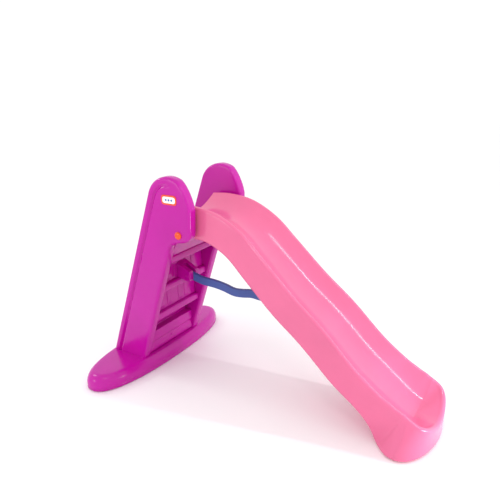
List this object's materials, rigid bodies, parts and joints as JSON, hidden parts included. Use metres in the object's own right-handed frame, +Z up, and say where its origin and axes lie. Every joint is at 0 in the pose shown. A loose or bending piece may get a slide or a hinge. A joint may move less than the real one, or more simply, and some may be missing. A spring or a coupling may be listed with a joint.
{
  "type": "toddler slide",
  "caption": "Folding toddler slide: leaning ladder with rounded ear handles on a boat-shaped foot, wavy chute with raised rails, and a wavy brace between them.",
  "frame": {"origin": "on the floor, under the middle of the whole slide's box", "axes": "+X from the ladder to the chute's exit, +Y to the climber's left, +Z up"},
  "size_m": [1.58, 0.936, 0.98],
  "materials": {
    "magenta_plastic": "satin blow-moulded polyethylene",
    "pink_plastic": "glossy blow-moulded polyethylene",
    "blue_plastic": "satin moulded plastic",
    "orange_plastic": "glossy injection-moulded plastic",
    "badge": "printed film",
    "steel": "zinc-plated"
  },
  "bodies": {
    "slide": {"chute": "pink_plastic", "brace_catch_rod": "steel"},
    "ladder": {"base_foot": "magenta_plastic", "side_panel_left": "magenta_plastic", "side_panel_right": "magenta_plastic", "tread_lower": "magenta_plastic", "tread_middle": "magenta_plastic", "tread_upper": "magenta_plastic", "top_platform": "magenta_plastic", "riser_lower": "magenta_plastic", "riser_middle": "magenta_plastic", "riser_upper": "magenta_plastic", "front_apron": "magenta_plastic", "brace_bracket": "magenta_plastic", "brace_pivot_cap": "magenta_plastic", "front_screw_1": "magenta_plastic", "front_screw_2": "magenta_plastic", "base_screw_1": "steel", "base_screw_2": "steel", "base_screw_3": "steel", "base_screw_4": "steel", "brace_pivot_pin": "steel", "hinge_pin_left": "orange_plastic", "hinge_pin_right": "orange_plastic", "side_badge": "badge"},
    "brace": {"brace_bar": "blue_plastic"}
  },
  "joints": [
    {"name": "ladder_fold", "type": "hinge", "parent": "slide", "child": "ladder", "pos_m": [-0.299, 0, 0.735], "axis": [0, -1, 0], "range_deg": [0, 64]},
    {"name": "brace_swing", "type": "hinge", "parent": "ladder", "child": "brace", "pos_m": [-0.415, 0, 0.466], "axis": [0, 1, 0], "range_deg": [0, 94.1]}
  ],
  "couplings": [
    {"joint": "brace_swing", "follows": "ladder_fold", "ratio": 1.4688}
  ]
}
